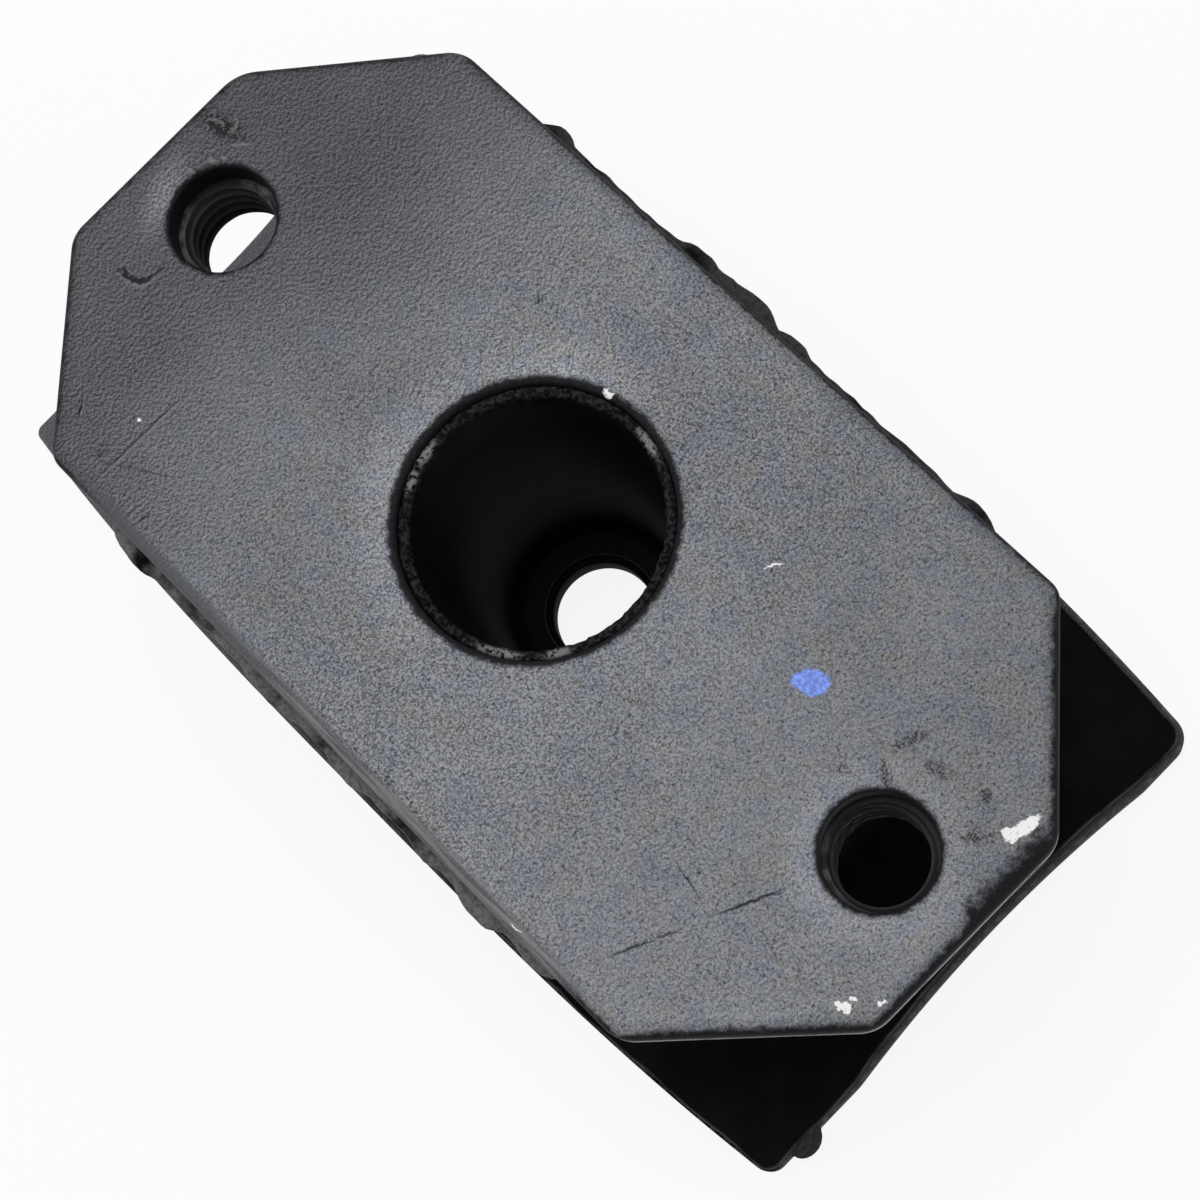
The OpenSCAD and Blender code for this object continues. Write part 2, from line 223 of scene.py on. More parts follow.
def lower_outline():
    """Outline of the lower plate: long sides bowed as a cubic, ends cut in by shallow parabolas off centre.

    Corner arcs join them, those at the -Y side tighter. Each long side is built for +Y, and the
    other is mirrored. All is then turned by a slight angle about the plate's middle and moved there.
    """
    mid, half = LOWER_X, LOWER_HALF_LEN
    bow = lambda x: LOWER_HALF_WID - SIDE_BOW * np.abs((x - mid) / half) ** 3
    quarter = np.linspace(0, pi / 2 - 0.12, 9)
    r = LOWER_CORNER_R

    def corner(sx, r):
        cx = mid + sx * (half - r)
        return np.stack([cx + sx * r * np.cos(quarter), bow(cx) - r + r * np.sin(quarter)], -1)

    x = np.linspace(NEAR_X - r, FAR_X + r, 92)[1:-1]
    side = np.stack([x, bow(x)], -1)
    upper = np.concatenate([corner(1, r), side, corner(-1, r)[::-1]])
    under = np.concatenate([corner(1, NEAR_CORNER_R), side, corner(-1, FAR_CORNER_R)[::-1]]) * [1, -1]
    end = bow(NEAR_X - r) - r
    y = np.linspace(end, -end, 72)[1:-1]
    cut = lambda mid_y: np.clip(1 - (2 * (y - mid_y) / RELIEF_WID) ** 2, 0, 1)
    far_end = np.stack([FAR_X + FAR_RELIEF * cut(-RELIEF_SHIFT), y], -1)
    near_end = np.stack([NEAR_X - NEAR_RELIEF * cut(RELIEF_SHIFT), y], -1)[::-1]
    ring = np.concatenate([upper, far_end, under[::-1], near_end]) - [mid, 0]
    c, s = np.cos(radians(LOWER_TURN)), np.sin(radians(LOWER_TURN))
    return ring @ [[c, s], [-s, c]] + [mid, LOWER_DY]


def block_at(z):
    """Outline of the rubber block at height z: a rounded rectangle.

    Its sides curve in by a half sine between foot and plate, lean out a little at the foot, and
    end there in a quarter-circle fillet.
    """
    h = max(z - BLOCK_LOW, 0.0)
    t = h / (BLOCK_TOP - BLOCK_LOW)
    out = FOOT_R - np.sqrt(FOOT_R ** 2 - (FOOT_R - h) ** 2) if h < FOOT_R else 0.0
    side = WAIST * np.sin(pi * t) - FOOT_LEAN * (1 - t)
    x, y = BLOCK_HALF_LEN - side + out, BLOCK_HALF_WID - side + out
    return rounded([(x, -y), (x, y), (-x, y), (-x, -y)], BLOCK_CORNER_R + out, 0, 14, 90)


def ripple(angle, seed, low, high, fade=0.5):
    """Smooth closed unevenness of about unit size: a sum of cosines of the angle.

    Their counts run from low to high, their phases are seeded, and their sizes fall with count.
    """
    rng = np.random.default_rng(seed)
    k = np.arange(low, high + 1)
    size = k ** -fade * rng.uniform(0.4, 1, k.size)
    wave = np.cos(angle[..., None] * k + rng.uniform(0, 2 * pi, k.size)) @ size
    return wave / np.sqrt((size ** 2).sum() / 2)


def at(ring, z):
    """An outline lifted to height z, which may differ from point to point."""
    return np.concatenate([ring, np.broadcast_to(np.asarray(z, float), (len(ring),))[:, None]], 1)


def strip(rings, wrap=False):
    """Faces between a stack of closed rings, m x n x 3: a grid of quads, closed across if wrap."""
    g = np.asarray(rings)
    m, n = g.shape[:2]
    j, i = np.meshgrid(np.arange(m if wrap else m - 1), np.arange(n), indexing="ij")
    j2, i2 = (j + 1) % m, (i + 1) % n
    quads = np.stack([j * n + i, j * n + i2, j2 * n + i2, j2 * n + i], -1).reshape(-1, 4)
    return g.reshape(-1, 3), quads.tolist()


def flat(z, loops):
    """Level face at height z between closed outlines.

    Triangles are made over all the points with the outlines kept, and those whose middle has an
    odd number of outline crossings beside it stay.
    """
    pts = np.concatenate(loops)
    ends = np.cumsum([len(v) for v in loops])
    nxt = np.arange(len(pts)) + 1
    nxt[ends - 1] = ends - [len(v) for v in loops]
    edges = np.stack([np.arange(len(pts)), nxt], 1)
    co, _, tri = delaunay_2d_cdt([Vector(p) for p in pts], edges.tolist(), [], 0, 1e-7)[:3]
    co, tri = np.array([tuple(v) for v in co]), np.array(tri)
    mid = co[tri].mean(1)
    a, b = pts[edges[:, 0]], pts[edges[:, 1]]
    above = (a[None, :, 1] > mid[:, None, 1]) != (b[None, :, 1] > mid[:, None, 1])
    run = np.where(b[:, 1] == a[:, 1], 1, b[:, 1] - a[:, 1])
    cross = a[None, :, 0] + (mid[:, None, 1] - a[None, :, 1]) * ((b - a)[:, 0] / run)[None]
    inside = (above & (cross > mid[:, None, 0])).sum(1) % 2 == 1
    u, v = co[tri[:, 1]] - co[tri[:, 0]], co[tri[:, 2]] - co[tri[:, 0]]
    thick = np.abs(u[:, 0] * v[:, 1] - u[:, 1] * v[:, 0]) > 1e-6
    return at(co, z), tri[inside & thick].tolist()


def arc_profile(r, steps=6):
    """Quarter round of radius r: how far in and how far down from the sharp edge, from side to top."""
    a = np.linspace(0, pi / 2, steps + 1)
    return np.stack([r * (1 - np.cos(a)), r * (1 - np.sin(a))], -1)


def piece(name, parts, material, nodes, sharp=40):
    """One object from several grids: points welded, faces turned outwards, smooth but for sharp edges."""
    counts = np.cumsum([0] + [len(p) for p, _ in parts])
    faces = [[v + c for v in f] for (_, fs), c in zip(parts, counts) for f in fs]
    mesh = bpy.data.meshes.new(name)
    mesh.from_pydata((np.concatenate([p for p, _ in parts]) * MM).tolist(), [], faces)
    bm = bmesh.new()
    bm.from_mesh(mesh)
    bmesh.ops.remove_doubles(bm, verts=bm.verts, dist=WELD)
    bmesh.ops.recalc_face_normals(bm, faces=bm.faces)
    bm.to_mesh(mesh)
    bm.free()
    corners = np.zeros(len(mesh.polygons), np.int32)
    mesh.polygons.foreach_get("loop_total", corners)
    mesh.polygons.foreach_set("use_smooth", corners > 3)
    mesh.set_sharp_from_angle(angle=radians(sharp))
    obj = bpy.data.objects.new(name, mesh)
    bpy.context.scene.collection.objects.link(obj)
    mesh.materials.append(material)
    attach(obj, "root")
    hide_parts(*nodes)
    return obj


def plate_parts(ring, low, high, edge_r, holes):
    """Closed sheet metal plate: rounded outer edge, flats, and a tube with a rounded mouth per hole.

    ring(d) gives the outline moved in by d. holes is a list of (x, y, radius, radius of its mouth).
    """
    over, under = ring(edge_r + 0.5), ring(UNDER_R + 0.5)
    rows = [at(under, low)] + [at(ring(d), low + h) for d, h in arc_profile(UNDER_R, 3)[::-1]]
    rows += [at(ring(d), high - h) for d, h in arc_profile(edge_r)] + [at(over, high)]
    parts = [strip(rows)]
    up, down = [over], [under]
    for x, y, r, lip in holes:
        mouth = arc_profile(lip, 5)
        radii = [r + 0.45, r + 0.1, r] + [r + d for d, _ in mouth] + [r + lip + 0.35]
        heights = [low, low, low + 0.12] + [high - h for _, h in mouth] + [high]
        parts.append(strip([at(circle(q) + [x, y], z) for q, z in zip(radii, heights)]))
        up.append(circle(radii[-1]) + [x, y])
        down.append(circle(radii[0]) + [x, y])
    return parts + [flat(high, up), flat(low, down)]


def nut_parts(x, s):
    """Hexagonal nut: six flats, a turned bevel below, and a screw thread inside.

    The flats stand at the nut's half width over the cosine of the angle from each flat's middle.
    The thread's radius is a truncated triangle wave of height over pitch less the turn, so it
    climbs one pitch a turn and closes on itself. Cones at both mouths cut it back.
    """
    a, way = spokes(180)
    row = lambda r, z: at(np.broadcast_to(r, a.shape)[:, None] * way + [x, 0], z)
    off = (a + pi / 6) % (pi / 3) - pi / 6
    side = np.minimum(NUT_FLAT / np.cos(off), NUT_FLAT * NUT_CORNER)
    face = NUT_FLAT * NUT_FACE
    top = PLATE_LOW - NUT_SEAT
    shoulder = top - NUT_SHOULDER
    bevel = NUT_LOW + np.maximum((side - face) / BEVEL_RUN, 0.02)
    rows = [row(MOUTH_R + 0.2, top), row(BOLT_R + 0.5, top), row(side - 0.3, top), row(side, shoulder)]
    rows += [row(side, shoulder + (bevel - shoulder) * k / 4) for k in (1, 2, 3, 4)]
    rows += [row(face, NUT_LOW), row(NUT_FLAT * 0.93, NUT_LOW), row(MOUTH_R + 1.0, NUT_LOW)]
    pitch, crest, root = s.thread_pitch / MM, s.thread_crest / MM / 2, s.thread_root / MM / 2
    for z in np.linspace(NUT_LOW, top, 80):
        wave = np.abs(2 * ((z / pitch - a / (2 * pi) + THREAD_START) % 1) - 1)
        r = crest + (root - crest) * np.clip((wave - 0.1) / 0.8, 0, 1)
        cone = max(MOUTH_R - (z - NUT_LOW), crest + LEAD_IN - (top - z))
        rows.append(row(np.maximum(r, cone), z))
    return [strip(rows, wrap=True)]


def flash_reach(x, side, s):
    """How far the rubber stands out past a long edge at x: separate soft lumps on a thin ragged base.

    Each lump is a bell curve about its middle, flattened at the top by a power. The base is the widest bell.
    """
    mid, wide, tall = np.array(FLASH_LUMPS[side]).T
    bell = np.exp(-np.abs((x[:, None] - mid) / wide) ** np.where(wide == wide[0], 9, 3)) * tall
    rag = ripple(x / 14, 5 + side, 6, 40, 0.7) * 0.07
    return np.clip(bell.max(1) * s.flash_reach / MM + rag, -0.6, 2.2)


def block_rows(s):
    """Rings of the block's side from the skin up to the plate, and the outline of the last of them.

    The flash stands out from the block's outline by the reach of its side, which fades to the least
    at the corners and ends, times a share for each height. Its heights sag by a ripple.
    """
    rise = BLOCK_LOW + FOOT_R * (1 - np.cos(np.linspace(0, pi / 2, 9)[:-1]))
    heights = np.concatenate([rise, np.linspace(BLOCK_LOW + FOOT_R, BLOCK_TOP - 0.4, 30)])
    rows = [at(block_at(z)[0], z) for z in heights]
    ring, out = block_at(BLOCK_TOP)
    x, y = ring.T
    long = np.clip(np.abs(out[:, 1]) * 1.6 - 0.6, 0, 1)
    ends = np.clip((BLOCK_HALF_LEN - 1.5 - np.abs(x)) / 3, 0, 1)
    reach = BLOCK_SET_IN + np.where(y > 0, flash_reach(x, 1, s), flash_reach(x, -1, s))
    reach = FLASH_LEAST + (reach - FLASH_LEAST) * long * ends
    sag = ripple(np.arctan2(y, x), 21, 8, 60, 0.4) * 0.1
    for share, z, k in [(0.0, BLOCK_TOP - 0.15, 0), (0.3, BLOCK_TOP - 0.02, 0.6), (0.75, BLOCK_TOP + 0.12, 1),
                        (0.96, BLOCK_TOP + 0.3, 1), (1.0, BLOCK_TOP + 0.5, 1), (0.97, BLOCK_TOP + 0.75, 0.8),
                        (0.9, PLATE_LOW - 0.08, 0.3), (0.75, PLATE_LOW, 0)]:
        rows.append(at(ring + out * (reach * share)[:, None], z + sag * k))
    inner = ring - out * 1.5
    return rows + [at(inner, PLATE_LOW)], inner


def well_part(s):
    """Lining, tapering well and floor: a profile of radius and height turned about the hole.

    Near the lining's rim two ripples, one of the radius and one of the height, make it ragged.
    """
    a, way = spokes(192)
    lip, floor = PLATE_TOP - LINING_STEP, LOWER_TOP + FLOOR_T
    burr = ripple(a, 3, 9, 70, 0.25) * s.burr_height / MM
    notch = ripple(a, 8, 12, 80, 0.2) * s.burr_height / MM
    mouth = PLATE_LOW - WELL_DEPTH
    # radius, height, and the shares of both ripples
    profile = [(CENTRE_R, PLATE_LOW, 0, 0), (CENTRE_R, lip - 0.35, 0, 0.2),
               (CENTRE_R - 0.08, lip - 0.12, 0, 0.6), (CENTRE_R - 0.3, lip + 0.02, 0.3, 0.8),
               (CENTRE_R - 0.6, lip + 0.05, 0.6, 1.0),
               (LINING_R + 0.55, lip, 0.8, 0.9), (LINING_R + 0.25, lip - 0.1, 0.8, 0.7),
               (LINING_R + 0.05, lip - 0.32, 0.6, 0.3), (LINING_R - 0.05, lip - 0.7, 0.3, 0),
               (LINING_R - 0.12, lip - 1.4, 0, 0), (WELL_R, mouth, 0, 0)]
    profile += [(WELL_R + (WELL_FLOOR_R - WELL_R) * t, mouth + (floor + WELL_FILLET - mouth) * t, 0, 0)
                for t in np.linspace(0, 1, 16)[1:]]
    profile += [(WELL_FLOOR_R - WELL_FILLET * (1 - np.cos(q)), floor + WELL_FILLET * (1 - np.sin(q)), 0, 0)
                for q in np.linspace(0, pi / 2, 8)[1:]]
    profile += [(FLOOR_HOLE_R + 0.4, floor, 0, 0), (FLOOR_HOLE_R + 0.1, floor - 0.08, 0.05, 0),
                (FLOOR_HOLE_R, floor - 0.3, 0.05, 0), (FLOOR_HOLE_R, LOWER_TOP, 0, 0)]
    return strip([at((r + notch * kr)[:, None] * way, z + burr * kz) for r, z, kr, kz in profile])


def skin_outline():
    """Outline of the skin: the lower plate's, moved in, less at the near -Y corner, and cut at the far end.

    The margin shrinks over 20 mm from the middle towards that corner. The cut is a straight line
    across with a small chamfer at both ends.
    """
    base = lower_outline()
    near = np.clip(-base[:, 1] / 20, 0, 1) * np.clip(base[:, 0] / 20, 0, 1)
    edge = base - outward(base) * (SKIN_MARGIN - (SKIN_MARGIN - NEAR_MARGIN) * near)[:, None]
    # points crowded together at the corners are left out
    edge = edge[np.linalg.norm(edge - np.roll(edge, 1, 0), axis=1) > 0.12]
    stop = FAR_X + FAR_MARGIN
    past = np.flatnonzero(edge[:, 0] < stop + SKIN_CHAMFER)
    before, after = edge[:past[0]], edge[past[-1] + 1:]
    y = np.linspace(before[-1, 1] - SKIN_CHAMFER, after[0, 1] + SKIN_CHAMFER, 60)
    return np.concatenate([before, np.stack([np.full(60, stop), y], -1), after])


def skin_parts(block):
    """Skin over the lower plate: rounded and rippled outer edge, flat top up to the block, flat underside."""
    edge = skin_outline()
    out = outward(edge)
    ragged = 0.06 * ripple(np.arctan2(edge[:, 1], edge[:, 0]), 31, 10, 60, 0.3)
    moved = lambda d: edge - out * (d + ragged * (d < 0.5))[:, None]
    profile = [(0.0, 0.0), (0.0, 0.55), (0.06, 0.8), (0.2, 0.95), (0.4, SKIN_T), (0.8, SKIN_T)]
    return [strip([at(moved(d), LOWER_TOP + h) for d, h in profile]), flat(BLOCK_LOW, [moved(0.8), block]),
            flat(LOWER_TOP, [moved(0.0), circle(FLOOR_HOLE_R, 192)])]


def rubber_parts(s):
    """The moulded rubber, one closed surface: block with flash, lining and well, skin on the lower plate."""
    rows, inner = block_rows(s)
    under_plate = flat(PLATE_LOW, [inner, circle(CENTRE_R, 192)])
    return [strip(rows), well_part(s), under_plate, *skin_parts(rows[0][:, :2])]


def lump(place, size, seed, n=28):
    """Small closed blob: a sphere stretched to size, its radius rippled."""
    u, v = np.meshgrid(np.linspace(0.02, pi - 0.02, n), np.arange(n) * 2 * pi / n, indexing="ij")
    r = 1 + 0.12 * ripple(v + 2 * u, seed, 2, 7)
    p = np.stack([np.sin(u) * np.cos(v), np.sin(u) * np.sin(v), np.cos(u)], -1) * r[..., None]
    pts, quads = strip(p * size + place)
    return pts, quads + [list(range(n - 1, -1, -1)), list(range((n - 1) * n, n * n))]


# Finishes

class Web:
    """Places shader nodes in one tree and joins them up as they are placed."""

    def __init__(self, tree):
        self.tree = tree
        self.count = 0

    def __call__(self, kind, ins=None, **props):
        """New node of a kind, each input set to a value or joined to a socket."""
        node = self.tree.nodes.new("ShaderNode" + kind)
        node.location = (180 * (self.count // 6) - 2400, -220 * (self.count % 6))
        self.count += 1
        for key, value in props.items():
            setattr(node, key, value)
        for key, value in (ins or {}).items():
            if isinstance(value, bpy.types.NodeSocket):
                self.tree.links.new(value, node.inputs[key])
            else:
                node.inputs[key].default_value = value
        return node

    def math(self, op, a, b=0.0, clamp=False):
        return self("Math", {0: a, 1: b}, operation=op, use_clamp=clamp).outputs[0]

    def plus(self, a, b):
        return self.math("ADD", a, b)

    def minus(self, a, b):
        return self.math("SUBTRACT", a, b)

    def times(self, first, *rest):
        """Product of values."""
        for value in rest:
            first = self.math("MULTIPLY", first, value)
        return first

    def length(self, x, y):
        """Root of the sum of two squares."""
        return self.math("SQRT", self.plus(self.times(x, x), self.times(y, y)))

    def fade(self, value, start, end, a=0.0, b=1.0):
        """Smooth step of value from a at start to b at end."""
        return self("MapRange", {0: value, 1: start, 2: end, 3: a, 4: b},
                    interpolation_type="SMOOTHSTEP").outputs[0]

    def mix(self, share, a, b):
        """Colour between a and b."""
        colour = lambda c: c if isinstance(c, bpy.types.NodeSocket) else (*c[:3], 1.0)
        return self("Mix", {0: share, 6: colour(a), 7: colour(b)}, data_type="RGBA").outputs[2]

    def shade(self, colour, tone):
        """Colour made lighter or darker by a factor."""
        return self("VectorMath", {0: colour, "Scale": tone}, operation="SCALE").outputs[0]

    def noise(self, vector, scale, detail=2.0, rough=0.5):
        ins = {"Vector": vector, "Scale": scale, "Detail": detail, "Roughness": rough}
        return self("TexNoise", ins).outputs[0]

    def shaken(self, vector, *sizes):
        """Coordinates moved sideways by noise, once for each size in mm, so that marks get ragged rims."""
        colour = self("TexNoise", {"Vector": vector, "Scale": 1500.0, "Detail": 3.0}).outputs[1]
        off = self("VectorMath", {0: colour, 1: (0.5, 0.5, 0.5)}, operation="SUBTRACT").outputs[0]
        return [self("VectorMath", {0: off, 1: (size * MM, size * MM, 0.0), 2: vector},
                     operation="MULTIPLY_ADD").outputs[0] for size in sizes]

    def local(self, vector, x, y, rx, ry, turn):
        """Coordinates about (x, y) mm turned by degrees, one unit being rx, ry mm, and their length."""
        place = self("Mapping", {"Vector": vector, "Location": (x * MM, y * MM, 0),
                                 "Rotation": (0, 0, radians(turn)), "Scale": (rx * MM, ry * MM, 10)},
                     vector_type="TEXTURE").outputs[0]
        return place, self("VectorMath", {0: place}, operation="LENGTH").outputs["Value"]

    def spot(self, vector, x, y, rx, ry, turn=0.0, soft=0.25):
        """1 inside an ellipse about (x, y) mm with radii rx, ry mm turned by degrees, 0 outside."""
        return self.fade(self.local(vector, x, y, rx, ry, turn)[1], 1 + soft, 1 - soft)

    def bow(self, vector, x, y, r, turn, thick):
        """1 on the arc of a circle about (x, y) mm that faces the angle in degrees, 0 elsewhere."""
        place, length = self.local(vector, x, y, r, r, turn)
        off = self.math("ABSOLUTE", self.minus(length, 1.0))
        facing = self.fade(self("SeparateXYZ", {0: place}).outputs[0], 0.2, 0.5)
        return self.times(self.fade(off, thick, thick * 0.4), facing)

    def most(self, *masks):
        """Largest of several masks."""
        total = masks[0]
        for mask in masks[1:]:
            total = self.math("MAXIMUM", total, mask)
        return total

    def spots(self, vector, places):
        """Several spots in one mask."""
        return self.most(*(self.spot(vector, *place) for place in places))

    def seen_plainly(self):
        """1 for rays that see the background as it is: the camera's, and those through glass or off gloss."""
        ray = self("LightPath").outputs
        plain = self.math("ADD", ray["Is Camera Ray"], ray["Is Transmission Ray"], True)
        return self.math("ADD", plain, ray["Is Glossy Ray"], True)


def new_group(name, ins, outs):
    """Empty shader node group with float or vector inputs and outputs."""
    group = bpy.data.node_groups.new(name, "ShaderNodeTree")
    for n, kind, value in ins:
        sock = group.interface.new_socket(name=n, in_out="INPUT", socket_type="NodeSocket" + kind)
        if value is not None:
            sock.default_value = value
    for n, kind in outs:
        group.interface.new_socket(name=n, in_out="OUTPUT", socket_type="NodeSocket" + kind)
    i, o = group.nodes.new("NodeGroupInput").outputs, group.nodes.new("NodeGroupOutput").inputs
    return group, Web(group), i, o


def grain_group():
    """Blasted coating grain: height, painted light and shade on the sides of the peel, grit, specks, clouds
    and tints.
    """
    if "Blasted grain" in bpy.data.node_groups:
        return bpy.data.node_groups["Blasted grain"]
    group, w, i, o = new_group(
        "Blasted grain", [("Vector", "Vector", None), ("Grain", "Float", 1400.0)],
        [(n, "Float") for n in ("Height", "Painted relief shade", "Grit", "Specks", "Clouds", "Tint", "Warm")])
    p, link = i["Vector"], w.tree.links.new
    scale = lambda k: w.times(i["Grain"], k)
    moved = lambda d: w("VectorMath", {0: p, 1: d}, operation="ADD").outputs[0]
    peel = w.noise(p, i["Grain"], 2.5, 0.55)
    link(w.plus(w.times(peel, 0.7), w.times(w.noise(p, scale(0.45), 2.0), 0.3)), o["Height"])
    # painted light and shade of the peel: the noise less the same noise moved beside it, as if lit from +X
    beside = w.noise(moved((0.00013, -0.00002, 0)), scale(1.1), 2.0, 0.6)
    link(w.fade(w.minus(w.noise(p, scale(1.1), 2.0, 0.6), beside), -0.14, 0.14), o["Painted relief shade"])
    link(w.fade(w.noise(p, scale(1.9), 3.0, 0.7), 0.38, 0.62), o["Grit"])
    link(w.fade(w.noise(moved((0.1, 0.2, 0)), scale(1.3), 2.5, 0.6), 0.57, 0.66), o["Specks"])
    link(w.fade(w.noise(p, 60.0, 4.0, 0.6), 0.32, 0.68), o["Clouds"])
    link(w.fade(w.noise(p, 230.0, 5.0, 0.72), 0.46, 0.62), o["Tint"])
    link(w.fade(w.noise(moved((0.3, 0.1, 0.2)), 260.0, 5.0, 0.72), 0.48, 0.64), o["Warm"])
    return group


def grain(w, vector, size):
    """The grain group placed in a material, for grain of this size in metres."""
    node = w("Group", node_tree=grain_group())
    w.tree.links.new(vector, node.inputs["Vector"])
    node.inputs["Grain"].default_value = 1 / size
    return node.outputs


def finish(name):
    """New material: returns it, its web, its shader node, Object coordinates and their x, y and z."""
    mat = bpy.data.materials.new(name)
    mat.use_nodes = True
    w = Web(mat.node_tree)
    p = w("TexCoord").outputs["Object"]
    return mat, w, mat.node_tree.nodes["Principled BSDF"], p, w("SeparateXYZ", {0: p}).outputs


def bump(w, shader, height, strength, distance):
    """Height in the shader's normal."""
    node = w("Bump", {"Height": height, "Strength": strength, "Distance": distance})
    w.tree.links.new(node.outputs[0], shader.inputs["Normal"])


def dimmed(colour, k):
    """A plain colour times k."""
    return [c * k for c in colour]


def outline_distance(w, ax, ay):
    """Distance to the top plate's outline in mm: the least of those to end, side and cut corner."""
    nx, ny = CUT_Y / np.hypot(CUT_X, CUT_Y), CUT_X / np.hypot(CUT_X, CUT_Y)
    reach = HALF_LEN * nx + (HALF_WID - CUT_Y) * ny
    end = w.minus(HALF_LEN, w.times(ax, 1000.0))
    side = w.minus(HALF_WID, w.times(ay, 1000.0))
    cut = w.minus(reach, w.plus(w.times(ax, 1000 * nx), w.times(ay, 1000 * ny)))
    return w.math("MINIMUM", w.math("MINIMUM", end, side), cut)


def dark_scratches(w, p, fine, rag):
    """Dark scratches along the -Y side, near both ends."""
    strokes = [w.times(w.spot(fine, *BROKEN), w.fade(rag, 0.3, 0.5))]
    for vector, places in ((fine, WAVERING), (p, STRAIGHT)):
        strokes += [w.times(w.spot(vector, *place), share) for *place, share in places]
    return w.most(*strokes)


def glints_and_pale_scratches(w, p, fine, rough):
    """Painted highlights on the raised lips of the blister, scar and lumps beside the far hole, and pale
    scratches.
    """
    lumps = [w.spot(rough, x, y, 0.42, 0.3, 0, 0.5) for x, y, *_ in LUMPS]
    bows = [w.bow(rough, *place) for place in SCAR_GLINT_BOWS]
    return w.most(w.times(w.bow(rough, *BLISTER_LIGHT), 0.8), w.spot(rough, *SCAR_GLINT), *lumps, *bows,
                  w.spot(p, *PALE_STRAIGHT), w.spot(fine, *PALE_WAVERING))


